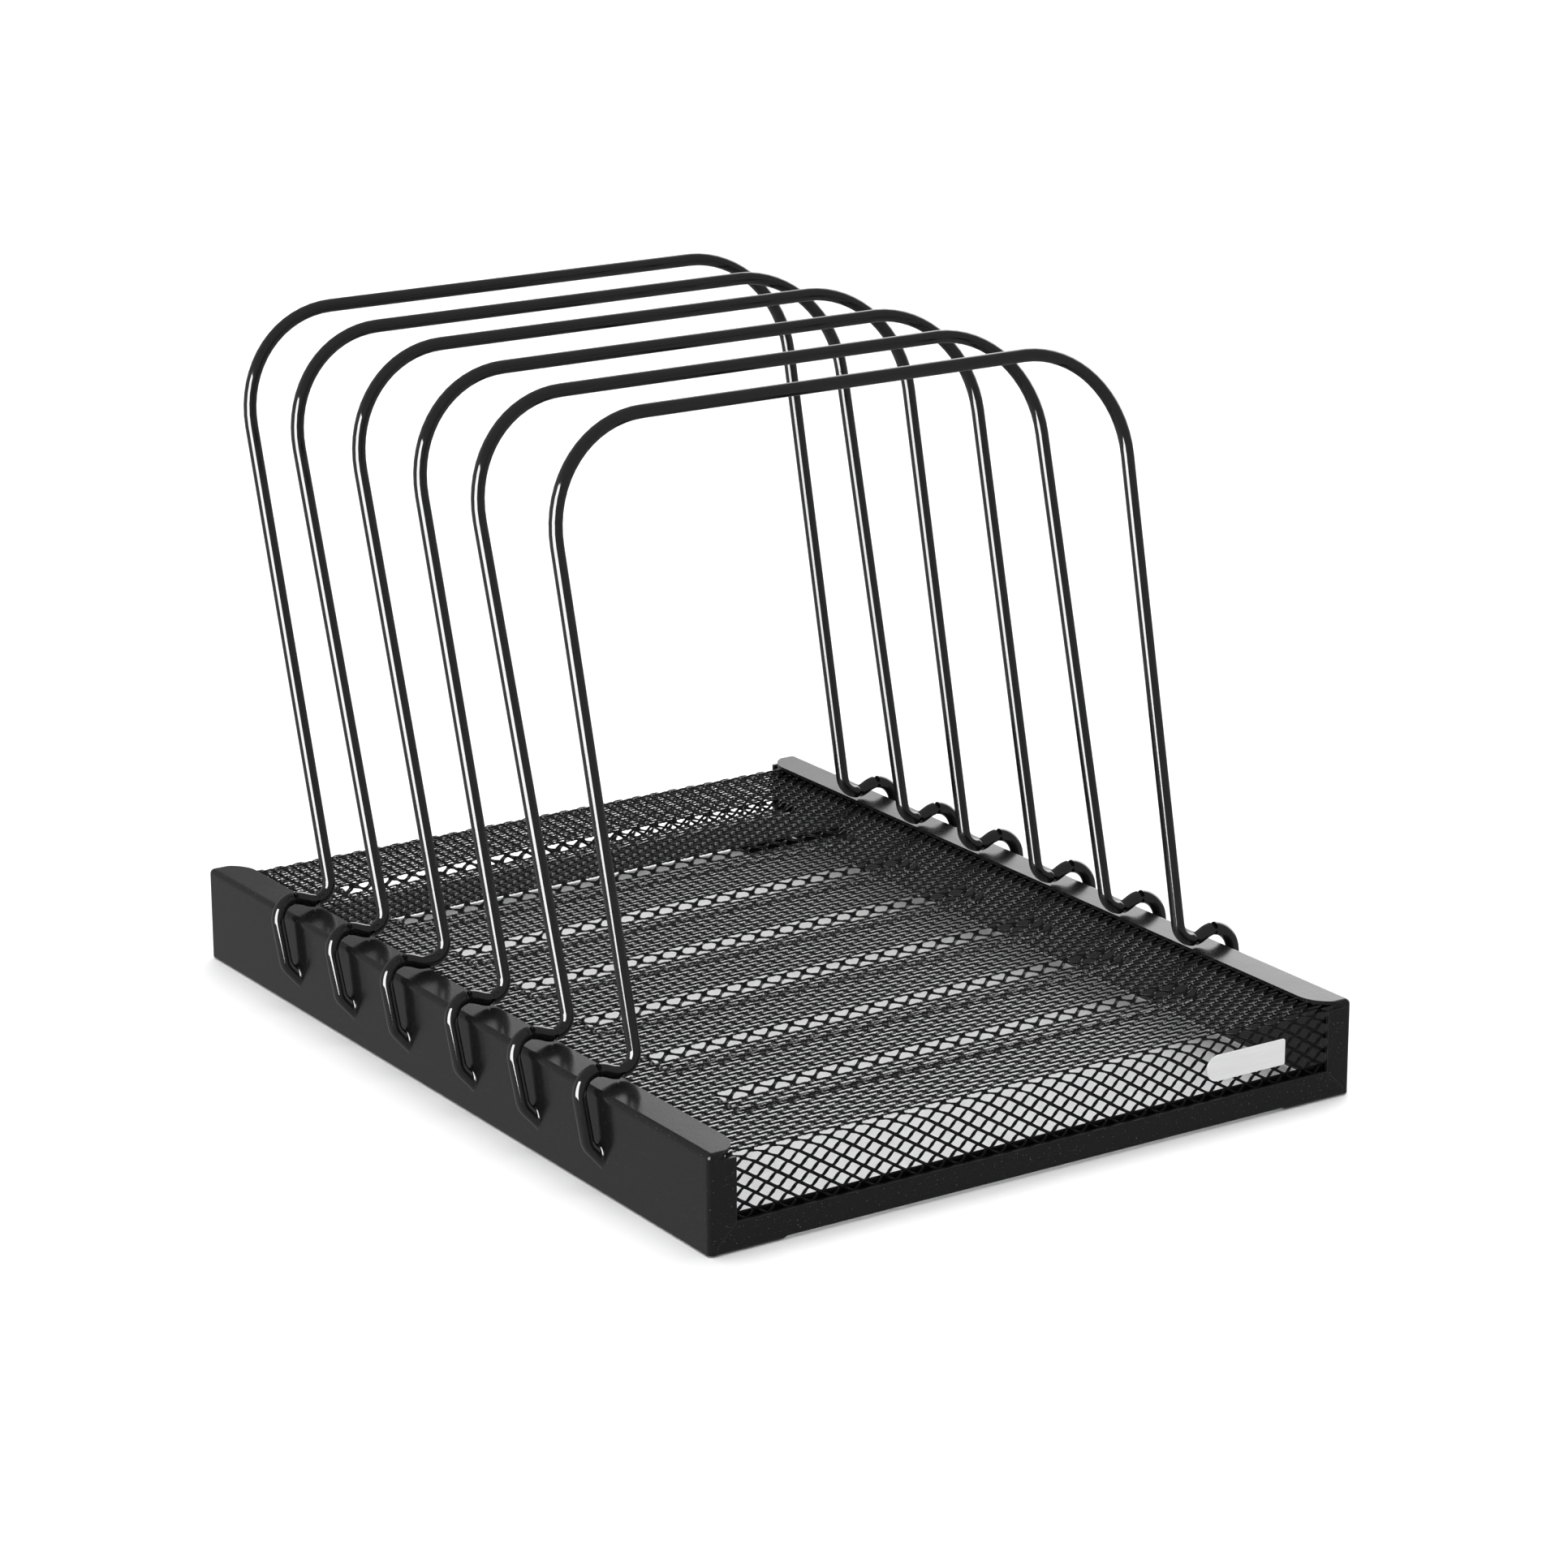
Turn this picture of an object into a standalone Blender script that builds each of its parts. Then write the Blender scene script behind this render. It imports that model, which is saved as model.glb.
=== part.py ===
"""Desktop file sorter: a pressed steel base, an expanded-metal deck and six leaning wire dividers.

Metres, +Z up. -Y is the front and +X the right-hand side as seen from the front. The origin is the
middle of the base, at the level that the sorter stands on.
"""

import math

import bmesh
import bpy

# Driving dimensions.
WIDTH = 0.210
DEPTH = 0.279
BASE_HEIGHT = 0.0281
SHEET = 0.001
GAP = 0.0003

# Side panels: a wall, a flange turned in along the top, and a return turned in at each end.
FLANGE_WIDTH = 0.011
FLANGE_CORNER = 0.010
PANEL_EDGE = 0.0005
PANEL_BEND = 0.0016
RETURN_WIDTH = 0.0083
RETURN_TOP = BASE_HEIGHT - 0.002

# End rails: upright strips mitred to the panels' returns, with a foot turned in at each end.
RAIL_HEIGHT = 0.0084
RAIL_BEND = 0.0012
RAIL_END = WIDTH / 2 - 0.0023
FOOT_LENGTH = 0.020
FOOT_DEPTH = 0.009
FOOT_STEP = 0.001
FOOT_SLOPE = 0.0012

# Deck: one sheet turned down at the front and rear, with a file groove pressed in at every section.
DECK_HALF_WIDTH = WIDTH / 2 - SHEET - 2 * GAP
DECK_TOP = BASE_HEIGHT - SHEET - 0.001
DECK_FACE = DEPTH / 2 - SHEET - GAP
DECK_EDGE = 0.0043
DECK_BEND = 0.004
DECK_BEND_STEPS = 5
GROOVE_COUNT = 7
GROOVE_PITCH = 0.0343
GROOVE_FIRST = -0.1040
GROOVE_WIDTH = 0.0150
GROOVE_FLOOR = 0.0074
GROOVE_DEPTH = 0.0016
GROOVE_HALF_LENGTH = 0.0760
GROOVE_RUN_OUT = 0.0020

# Dividers: one bent wire each. Seats are the places along Y where they cross the flanges' top.
WIRE = 0.0038
SEATS = (-0.0816, -0.0476, -0.0136, 0.0229, 0.0552, 0.0881)
LEANS = (13.3, 16.0, 15.0, 14.6, 16.1, 14.6)
LEFT_FEET_SET_IN = (0.0, 0.0, 0.0, 0.0018, 0.0, 0.0)
LEG_FOOT = 0.0904
SHOULDER = 0.0936
WIRE_RISE = 0.1729
SHOULDER_BEND = 0.031
HOOK_OUTSIDE = 0.1089
HOOK_CREST = 0.0042
HOOK_SEAT = 0.0024
HOOK_BEND = 0.0062
TIP_BEND = (0.1080, -0.0147)
TIP = (0.1026, -0.0216)
WIRE_SIDES = 2
ARC_STEP = math.radians(15)

# Nameplate: a blank plate, round at its left end, low on the right of the front face.
PLATE_LENGTH = 0.027
PLATE_HEIGHT = 0.0075
PLATE_THICKNESS = 0.0006
PLATE_CENTRE = (0.0685, 0.0172)
PLATE_CORNER = 0.0006

CUT_MARGIN = 0.001


def clear_scene():
    for obj in list(bpy.data.objects):
        bpy.data.objects.remove(obj, do_unlink=True)


def new_collection(name):
    collection = bpy.data.collections.new(name)
    bpy.context.scene.collection.children.link(collection)
    return collection


def new_material(name, colour, roughness, metallic):
    material = bpy.data.materials.new(name)
    material.use_nodes = True
    shader = material.node_tree.nodes["Principled BSDF"]
    shader.inputs["Base Color"].default_value = (*colour, 1.0)
    shader.inputs["Roughness"].default_value = roughness
    shader.inputs["Metallic"].default_value = metallic
    return material


def new_object(name, data, collection, material=None):
    obj = bpy.data.objects.new(name, data)
    collection.objects.link(obj)
    if material:
        data.materials.clear()
        data.materials.append(material)
    return obj


def mesh_from(build, name):
    """A mesh filled by a function that takes a bmesh."""
    mesh = bpy.data.meshes.new(name)
    shape = bmesh.new()
    build(shape)
    shape.to_mesh(mesh)
    shape.free()
    return mesh


def evaluated_mesh(obj):
    """The object's mesh with its modifiers or its bevel made real, and loose caps welded."""
    graph = bpy.context.evaluated_depsgraph_get()
    mesh = bpy.data.meshes.new_from_object(obj.evaluated_get(graph))
    shape = bmesh.new()
    shape.from_mesh(mesh)
    bmesh.ops.remove_doubles(shape, verts=shape.verts, dist=1e-6)
    shape.to_mesh(mesh)
    shape.free()
    return mesh


def add_box(shape, low, high):
    """Adds a box to a bmesh and returns its faces."""
    made = bmesh.ops.create_cube(shape, size=1.0)["verts"]
    for vert in made:
        vert.co = [a + (c + 0.5) * (b - a) for a, b, c in zip(low, high, vert.co)]
    return {face for vert in made for face in vert.link_faces}


def delete_facing(shape, *directions):
    """Opens a box: deletes the faces whose normals point along the given directions."""
    shape.normal_update()
    gone = [
        face
        for face in shape.faces
        if any(sum(n * d for n, d in zip(face.normal, way)) > 0.9 for way in directions)
    ]
    bmesh.ops.delete(shape, geom=gone, context="FACES")


def arc(centre, radius, start, end, steps):
    """Points on an arc, with its angles in degrees."""
    return [
        (
            centre[0] + radius * math.cos(math.radians(start + (end - start) * i / steps)),
            centre[1] + radius * math.sin(math.radians(start + (end - start) * i / steps)),
        )
        for i in range(steps + 1)
    ]


def prism(name, outline, thickness, collection, material=None):
    """A flat outline made solid, half its thickness to each side of its own XY plane."""
    curve = bpy.data.curves.new(name, "CURVE")
    curve.dimensions = "2D"
    curve.fill_mode = "BOTH"
    curve.extrude = thickness / 2
    spline = curve.splines.new("POLY")
    spline.points.add(len(outline) - 1)
    for point, (x, y) in zip(spline.points, outline):
        point.co = (x, y, 0.0, 1.0)
    spline.use_cyclic_u = True
    source = new_object(name + "_outline", curve, collection)
    mesh = evaluated_mesh(source)
    bpy.data.objects.remove(source, do_unlink=True)
    shape = bmesh.new()
    shape.from_mesh(mesh)
    bmesh.ops.recalc_face_normals(shape, faces=shape.faces)
    shape.to_mesh(mesh)
    shape.free()
    return new_object(name, mesh, collection, material)


def hide_cutter(obj):
    obj.hide_render = True
    obj.display_type = "WIRE"
    return obj


def add_boolean(obj, cutter, operation="DIFFERENCE"):
    modifier = obj.modifiers.new(cutter.name, "BOOLEAN")
    modifier.operation = operation
    modifier.solver = "EXACT"
    modifier.object = cutter


def add_sheet(obj, bend, steps):
    """Rounds the folds of an open surface and thickens it inwards."""
    if bend:
        rounding = obj.modifiers.new("folds", "BEVEL")
        rounding.width = bend
        rounding.segments = steps
        rounding.limit_method = "ANGLE"
        rounding.angle_limit = math.radians(40)
    sheet = obj.modifiers.new("sheet", "SOLIDIFY")
    sheet.thickness = SHEET
    sheet.offset = -1.0
    sheet.use_even_offset = True


def bay_cutter(collection):
    """The bay between the posts, with the mitres below them: it trims the panels' returns."""
    post = WIDTH / 2 - RETURN_WIDTH
    mitre = RAIL_END + GAP
    lowest = post + RAIL_HEIGHT - mitre
    top = RETURN_TOP + GAP
    half = [(mitre, -CUT_MARGIN), (mitre, lowest), (post, RAIL_HEIGHT), (post, top)]
    outline = half + [(-x, z) for x, z in reversed(half)]
    cutter = prism("bay_cutter", outline, DEPTH + 2 * CUT_MARGIN, collection)
    cutter.rotation_euler.x = math.radians(90)
    return hide_cutter(cutter)


def flange_cutter(collection):
    """The plan of the gap between the flanges, whose ends flare round to the base's corners."""
    side = WIDTH / 2 - FLANGE_WIDTH
    end = DEPTH / 2
    centre = (side + FLANGE_CORNER, end - FLANGE_CORNER)
    corner = arc(centre, FLANGE_CORNER, 180, 90, 6) + [(centre[0], end + CUT_MARGIN)]
    right = [(x, -y) for x, y in reversed(corner)] + corner
    outline = right + [(-x, y) for x, y in reversed(right)]
    height = BASE_HEIGHT - RETURN_TOP + CUT_MARGIN
    cutter = prism("flange_cutter", outline, height, collection)
    cutter.location.z = RETURN_TOP + height / 2
    return hide_cutter(cutter)


def side_panel(name, side, cutters, parts, material):
    """One side of the base, pressed from sheet and open below and inside."""
    outer = side * WIDTH / 2
    inner = side * (WIDTH / 2 - FLANGE_WIDTH - CUT_MARGIN)

    def build(shape):
        low = (min(inner, outer), -DEPTH / 2, PANEL_EDGE)
        high = (max(inner, outer), DEPTH / 2, BASE_HEIGHT)
        add_box(shape, low, high)
        delete_facing(shape, (0, 0, -1), (-side, 0, 0))

    panel = new_object(name, mesh_from(build, name), parts, material)
    add_sheet(panel, PANEL_BEND, 3)
    for cutter in cutters:
        add_boolean(panel, cutter)
    return panel


def rail_outline_cutter(collection):
    """The front view of an end rail: mitred ends and a step up between its two feet."""
    slope = RAIL_END - FOOT_LENGTH
    post = WIDTH / 2 - RETURN_WIDTH
    seam = GAP * math.sqrt(2)
    half = [
        (slope - FOOT_SLOPE, FOOT_STEP),
        (slope, 0.0),
        (RAIL_END, 0.0),
        (RAIL_END, post + RAIL_HEIGHT - seam - RAIL_END),
        (post - seam, RAIL_HEIGHT),
    ]
    outline = half + [(-x, z) for x, z in reversed(half)]
    cutter = prism("rail_outline_cutter", outline, DEPTH + 2 * CUT_MARGIN, collection)
    cutter.rotation_euler.x = math.radians(90)
    return hide_cutter(cutter)


def foot_gap_cutter(collection):
    """The room between the feet, behind the rails' upright strips."""
    side = RAIL_END - FOOT_LENGTH
    back = DEPTH / 2 - SHEET
    mesh = mesh_from(
        lambda shape: add_box(
            shape, (-side, -back, -CUT_MARGIN), (side, back, SHEET + CUT_MARGIN)
        ),
        "foot_gap_cutter",
    )
    return hide_cutter(new_object("foot_gap_cutter", mesh, collection))


def end_rails(outline, foot_gap, parts, material):
    """The front rail, and the same rail turned round for the rear."""

    def build(shape):
        low = (-WIDTH / 2, -DEPTH / 2, 0.0)
        high = (WIDTH / 2, -DEPTH / 2 + FOOT_DEPTH, RAIL_HEIGHT + CUT_MARGIN)
        add_box(shape, low, high)
        delete_facing(shape, (0, 0, 1), (0, 1, 0), (1, 0, 0), (-1, 0, 0))

    for name, turn in (("front_rail", 0), ("rear_rail", 180)):
        rail = new_object(name, mesh_from(build, name), parts, material)
        rail.rotation_euler.z = math.radians(turn)
        add_sheet(rail, RAIL_BEND, 3)
        add_boolean(rail, outline, "INTERSECT")
        add_boolean(rail, foot_gap)


def deck_profile():
    """(y, z, groove) along the deck: groove is 1 on a groove's floor and 0 elsewhere."""
    centre = (-DECK_FACE + DECK_BEND, DECK_TOP - DECK_BEND)
    front = [(-DECK_FACE, DECK_EDGE)] + arc(centre, DECK_BEND, 180, 90, DECK_BEND_STEPS)
    profile = [(y, z, 0) for y, z in front]
    for i in range(GROOVE_COUNT):
        middle = GROOVE_FIRST + i * GROOVE_PITCH
        rims = (-GROOVE_WIDTH / 2, -GROOVE_FLOOR / 2, GROOVE_FLOOR / 2, GROOVE_WIDTH / 2)
        profile += [(middle + y, DECK_TOP, down) for y, down in zip(rims, (0, 1, 1, 0))]
    return profile + [(-y, z, 0) for y, z in reversed(front)]


def mesh_deck(parts, material):
    """The deck as a closed skin: a grid whose rows follow the profile."""
    profile = deck_profile()
    ramp = GROOVE_HALF_LENGTH + GROOVE_RUN_OUT
    half = [(GROOVE_HALF_LENGTH, 1), (ramp, 0), (DECK_HALF_WIDTH, 0)]
    columns = [(-x, down) for x, down in reversed(half)] + half

    def build(shape):
        across, along = len(columns) - 1, len(profile) - 1
        bmesh.ops.create_grid(shape, x_segments=across, y_segments=along, size=0.5)
        for vert in shape.verts:
            x, down = columns[round((vert.co.x + 0.5) * across)]
            y, z, groove = profile[round((vert.co.y + 0.5) * along)]
            vert.co = (x, y, z - GROOVE_DEPTH * down * groove)

    deck = new_object("mesh_deck", mesh_from(build, "mesh_deck"), parts, material)
    add_sheet(deck, None, 0)
    return deck


def rounded(corners, radii):
    """A polyline through the corners, with each inner one replaced by an arc of its radius."""
    path = [corners[0]]
    for before, corner, after, radius in zip(corners, corners[1:], corners[2:], radii):
        to_before = math.atan2(before[1] - corner[1], before[0] - corner[0])
        to_after = math.atan2(after[1] - corner[1], after[0] - corner[0])
        opening = (to_after - to_before + math.pi) % (2 * math.pi) - math.pi
        middle = to_before + opening / 2
        reach = radius / math.sin(abs(opening) / 2)
        centre = (corner[0] + reach * math.cos(middle), corner[1] + reach * math.sin(middle))
        turn = math.copysign(math.pi - abs(opening), -opening)
        start = middle + math.pi - turn / 2
        steps = max(2, math.ceil(abs(turn) / ARC_STEP))
        path += arc(centre, radius, math.degrees(start), math.degrees(start + turn), steps)
    return path + [corners[-1]]


def divider_half(leg_foot):
    """The wire's centre line right of its middle: x across, and z up from the flanges' top.

    It starts inside the panel, where the tip is trimmed later. It comes out and up past the
    flange, and runs over it in a low hump, up the leg and along the top to the middle.
    """
    corners = [
        TIP,
        TIP_BEND,
        (HOOK_OUTSIDE, HOOK_CREST),
        (HOOK_OUTSIDE - 0.0085, HOOK_CREST),
        (HOOK_OUTSIDE - 0.0119, HOOK_SEAT),
        (leg_foot, HOOK_SEAT),
        (SHOULDER, WIRE_RISE),
        (0.0, WIRE_RISE),
    ]
    radii = (0.004, HOOK_BEND, 0.006, 0.005, 0.005, SHOULDER_BEND)
    return rounded(corners, radii)[:-1]


def divider_mesh(set_in, cutter, cutters):
    """The bent wire, its tips trimmed to the panels, its left foot set in by that much."""
    left = [(-x, z) for x, z in divider_half(LEG_FOOT - set_in)]
    path = divider_half(LEG_FOOT) + left[::-1]
    curve = bpy.data.curves.new("divider", "CURVE")
    curve.dimensions = "3D"
    curve.bevel_depth = WIRE / 2
    curve.bevel_resolution = WIRE_SIDES
    curve.use_fill_caps = True
    spline = curve.splines.new("POLY")
    spline.points.add(len(path) - 1)
    for point, (x, z) in zip(spline.points, path):
        point.co = (x, 0.0, z, 1.0)
    wire = new_object("divider_wire", curve, cutters)
    solid = new_object("divider_solid", evaluated_mesh(wire), cutters)
    bpy.data.objects.remove(wire, do_unlink=True)
    add_boolean(solid, cutter)
    mesh = evaluated_mesh(solid)
    bpy.data.objects.remove(solid, do_unlink=True)
    mesh.shade_smooth()
    mesh.set_sharp_from_angle(angle=math.radians(50))
    return mesh


def tip_cutter(cutters):
    """The room between the panels' outer faces, at the height of the dividers' tips."""
    reach = WIDTH / 2 + GAP
    low = (-reach, -WIRE, TIP[1] - WIRE)
    high = (reach, WIRE, TIP_BEND[1] + WIRE / 2)
    mesh = mesh_from(lambda shape: add_box(shape, low, high), "tip_cutter")
    return hide_cutter(new_object("tip_cutter", mesh, cutters))


def dividers(parts, cutters, material):
    cutter = tip_cutter(cutters)
    places = zip(SEATS, LEANS, LEFT_FEET_SET_IN)
    for number, (seat, lean, set_in) in enumerate(places, start=1):
        mesh = divider_mesh(set_in, cutter, cutters)
        divider = new_object(f"divider_{number}", mesh, parts, material)
        divider.location = (0.0, seat, BASE_HEIGHT)
        divider.rotation_euler.x = -math.radians(lean)


def nameplate(parts, material):
    """The blank plate, just in front of the deck's front face."""
    half_length = PLATE_LENGTH / 2
    half_height = PLATE_HEIGHT / 2
    corner = half_length - PLATE_CORNER
    outline = arc((half_height - half_length, 0), half_height, 90, 270, 8)
    outline += arc((corner, PLATE_CORNER - half_height), PLATE_CORNER, -90, 0, 2)
    outline += arc((corner, half_height - PLATE_CORNER), PLATE_CORNER, 0, 90, 2)
    plate = prism("nameplate", outline, PLATE_THICKNESS, parts, material)
    plate.rotation_euler.x = math.radians(90)
    depth = -DECK_FACE - GAP - PLATE_THICKNESS / 2
    plate.location = (PLATE_CENTRE[0], depth, PLATE_CENTRE[1])


def main():
    clear_scene()
    parts = new_collection("desktop_file_sorter")
    cutters = new_collection("cutters")
    trims = [bay_cutter(cutters), flange_cutter(cutters)]
    for name, side in (("left_side_panel", -1), ("right_side_panel", 1)):
        coat = new_material(name, (0.035, 0.035, 0.037), 0.42, 0.0)
        side_panel(name, side, trims, parts, coat)
    rail_coat = new_material("end_rail", (0.032, 0.032, 0.034), 0.40, 0.0)
    end_rails(rail_outline_cutter(cutters), foot_gap_cutter(cutters), parts, rail_coat)
    mesh_deck(parts, new_material("mesh_deck", (0.03, 0.03, 0.032), 0.35, 0.0))
    dividers(parts, cutters, new_material("divider", (0.012, 0.012, 0.013), 0.18, 0.0))
    nameplate(parts, new_material("nameplate", (0.86, 0.86, 0.86), 0.30, 0.2))


main()
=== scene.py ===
"""Looks for the desktop file sorter: powder-coated sheet, expanded metal, dipped wires and a plate."""

import math

import bmesh
import bpy
import numpy as np
from mathutils import Matrix, Vector


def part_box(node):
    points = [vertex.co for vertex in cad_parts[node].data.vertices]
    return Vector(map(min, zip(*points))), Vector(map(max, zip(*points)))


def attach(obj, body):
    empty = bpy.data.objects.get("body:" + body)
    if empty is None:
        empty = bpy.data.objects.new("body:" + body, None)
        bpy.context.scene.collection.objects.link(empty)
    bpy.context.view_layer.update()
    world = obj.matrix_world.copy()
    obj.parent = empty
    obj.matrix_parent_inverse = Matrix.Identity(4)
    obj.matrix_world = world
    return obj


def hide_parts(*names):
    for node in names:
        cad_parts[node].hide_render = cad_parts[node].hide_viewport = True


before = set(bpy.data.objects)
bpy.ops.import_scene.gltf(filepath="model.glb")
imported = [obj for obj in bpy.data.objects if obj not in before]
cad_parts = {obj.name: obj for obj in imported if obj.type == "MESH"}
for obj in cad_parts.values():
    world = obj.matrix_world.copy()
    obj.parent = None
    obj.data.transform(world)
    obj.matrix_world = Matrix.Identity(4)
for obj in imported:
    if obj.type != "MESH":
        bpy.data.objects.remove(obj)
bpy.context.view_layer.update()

# The base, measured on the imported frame.
PANEL_LOW, PANEL_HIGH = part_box("right_side_panel")
_, RAIL_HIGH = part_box("front_rail")
DECK_LOW, DECK_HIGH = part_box("mesh_deck")
PLATE_LOW, PLATE_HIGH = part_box("nameplate")
HALF_WIDTH = PANEL_HIGH.x
HALF_DEPTH = PANEL_HIGH.y
BASE_HEIGHT = PANEL_HIGH.z
SIDES = (("left", -1), ("right", 1))

# How far a cutter reaches past what it cuts, how near two numbers are to count as the same, and the
# cosine above which two directions do.
MARGIN = 0.001
NEAR = 0.00005
SAME_WAY = 0.9

# Pressed sheet: what the boxes above don't say.
SHEET = 0.001
FLANGE_CORNER = 0.010
PANEL_BEND = 0.0016
RETURN_WIDTH = 0.0083
RETURN_DROP = 0.002
RAIL_BEND = 0.0012
FOOT_LENGTH = 0.020
FOOT_STEP = 0.001
FOOT_SLOPE = 0.0012
CUT_EDGE = 0.00022
BEND_STEPS = 8
CORNER_STEPS = 20

# Edges: the angles above which one is cut and rounded off, and above which shading creases.
CUT_ANGLE = math.radians(40)
SHEET_CREASE = math.radians(50)
WIRE_CREASE = math.radians(60)
CUT_EDGE_STEPS = 3
LARGE_FACES_LEAD = 100

# Expanded metal: half the pitch of its diamonds across and along, and the shape of one opening.
HALF_PITCH_X = 0.003325
HALF_PITCH_S = 0.00212
OPENING = (0.00235, 0.00150)
OPENING_ROUNDNESS = 1.15
BORDER_STEPS = 4
OUTLINE_POINTS = 4 * BORDER_STEPS
MESH_THICKNESS = 0.00055
BOND_TILT = 0.00034
STRAND_ROUNDING = 0.0003
STRAND_UNEVENNESS = 0.00003
FLAT_SHEET = 0.999
SLOPE_STEP = 0.0001
DECK_BEND = 0.004
DECK_SPLITS = {"front": -0.075, "fore": 0.0, "aft": 0.075}
EDGE_STRIP_RISE = 0.0014
EDGE_STRIP_THICKNESS = 0.0006

# File grooves pressed into the deck.
GROOVE_COUNT = 7
GROOVE_PITCH = 0.0343
GROOVE_FIRST = -0.1040
GROOVE_WIDTH = 0.0150
GROOVE_FLOOR = 0.0074
GROOVE_DEPTH = 0.0016
GROOVE_HALF_LENGTH = 0.0760
GROOVE_RUN_OUT = 0.0020

# Dividers: the wire's route in its own leaning plane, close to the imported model's.
WIRE = 0.0038
LEG_FOOT = 0.0904
SHOULDER = 0.0936
WIRE_RISE = 0.1729
SHOULDER_BEND = 0.031
HOOK_OUTSIDE = 0.1089
HOOK_CREST = 0.0042
HOOK_SEAT = 0.0024
CREST_LENGTH = 0.0080
SEAT_START = 0.0122
WIRE_BENDS = (0.004, 0.0062, 0.0085, 0.006, 0.005)
TIP_BEND = (0.1080, -0.0147)
TIP = (0.1026, -0.0216)
LEFT_FEET_SET_IN = {4: 0.0018}
DIVIDER_COUNT = 6
WIRE_SIDES = 24
WIRE_ARC_STEP = math.radians(6)

# The weld at a wire's tip: its rings, its fillet, and how the fillet varies round the wire.
WELD_RINGS = 14
WELD_LENGTH_SPARED = 0.0014
WELD_CROWDING = 1.7
WELD_FILLET = 0.0011
WELD_SINK = 0.0002
WELD_POOL = 0.45
WELD_POOL_LEAN = 0.35
WELD_LUMPS = 4
WELD_LUMPINESS = 0.14
WELD_LEAST = 0.35

# Nameplate.
PLATE_CORNER = 0.0006
PLATE_EDGE = 0.00014
PLATE_END_STEPS = 24
PLATE_CORNER_STEPS = 6

# Camera: its place, where it looks in degrees, and its lens on a 36 mm sensor.
CAMERA_PLACE = (-0.69880, -1.07878, 0.47135)
CAMERA_TURN = -33.291
CAMERA_DIP = 17.253
CAMERA_ROLL = -0.181
CAMERA_LENS = 108.602

# Studio: the directions where the room is lighter, with the cosines where each begins and is full.
CYCLORAMA = (0.88, 0.47, 0.21)
CYCLORAMA_EDGE = (0.83, 0.94)
CYCLORAMA_LIGHT = 2.9
HORIZON = (-0.05, 0.12)
LEFT_WALL = (-0.65, 0.70, -0.25)
LEFT_WALL_EDGE = (0.2, 0.9)
LEFT_WALL_LIGHT = 0.42
ROOM_LIGHT = 0.25

# Lamps and the floor.
OVERHEAD_PLACE = (0.30, 0.60, 2.0)
OVERHEAD_BREADTH = 65
OVERHEAD_LIGHT = 2.6
FILL_PLACE = (-1.3, -0.9, 1.2)
FILL_BREADTH = 120
FILL_LIGHT = 1.8
SOFTBOX_PLACE = (-1.16, -0.46, 0.62)
SOFTBOX_SIZE = (0.98, 1.22)
SOFTBOX_LIGHT = 48
FLOOR_REACH = 300.0

# A Mix node's two colours and its result, which share their names with its other sockets.
MIX_COLOURS = (6, 7)
MIXED_COLOUR = 2


# ---------------------------------------------------------------- node materials

def new_material(name, colour, roughness, metallic=0.0):
    """A Principled material; returns it with its tree, its shader and its object coordinates."""
    material = bpy.data.materials.new(name)
    material.use_nodes = True
    tree = material.node_tree
    shader = tree.nodes["Principled BSDF"]
    shader.inputs["Base Color"].default_value = (*colour, 1.0)
    shader.inputs["Roughness"].default_value = roughness
    shader.inputs["Metallic"].default_value = metallic
    place = tree.nodes.new("ShaderNodeTexCoord").outputs["Object"]
    return material, tree, shader, place


def noise(tree, place, scale, detail, stretch=None):
    """A noise texture's value, in a space that may be stretched along an axis."""
    if stretch:
        mapping = tree.nodes.new("ShaderNodeMapping")
        mapping.inputs["Scale"].default_value = stretch
        tree.links.new(place, mapping.inputs["Vector"])
        place = mapping.outputs["Vector"]
    texture = tree.nodes.new("ShaderNodeTexNoise")
    texture.inputs["Scale"].default_value = scale
    texture.inputs["Detail"].default_value = detail
    tree.links.new(place, texture.inputs["Vector"])
    return texture.outputs["Fac"]


def ramp(tree, value, low, high, start=0.0, end=1.0):
    """The value carried from low and high to start and end, and held at its ends."""
    node = tree.nodes.new("ShaderNodeMapRange")
    node.inputs["From Min"].default_value = low
    node.inputs["From Max"].default_value = high
    node.inputs["To Min"].default_value = start
    node.inputs["To Max"].default_value = end
    tree.links.new(value, node.inputs["Value"])
    return node.outputs["Result"]


def blend_colours(tree, factor, first, second):
    """One colour turning into another as the factor goes from 0 to 1."""
    mix = tree.nodes.new("ShaderNodeMix")
    mix.data_type = "RGBA"
    tree.links.new(factor, mix.inputs["Factor"])
    for socket, colour in zip(MIX_COLOURS, (first, second)):
        if isinstance(colour, tuple):
            mix.inputs[socket].default_value = (*colour, 1.0)
        else:
            tree.links.new(colour, mix.inputs[socket])
    return mix.outputs[MIXED_COLOUR]


def bump(tree, height, distance, strength, under=None):
    """A normal that follows the height, laid over another bump if there is one under it."""
    node = tree.nodes.new("ShaderNodeBump")
    node.inputs["Distance"].default_value = distance
    node.inputs["Strength"].default_value = strength
    tree.links.new(height, node.inputs["Height"])
    if under:
        tree.links.new(under, node.inputs["Normal"])
    return node.outputs["Normal"]


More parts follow.
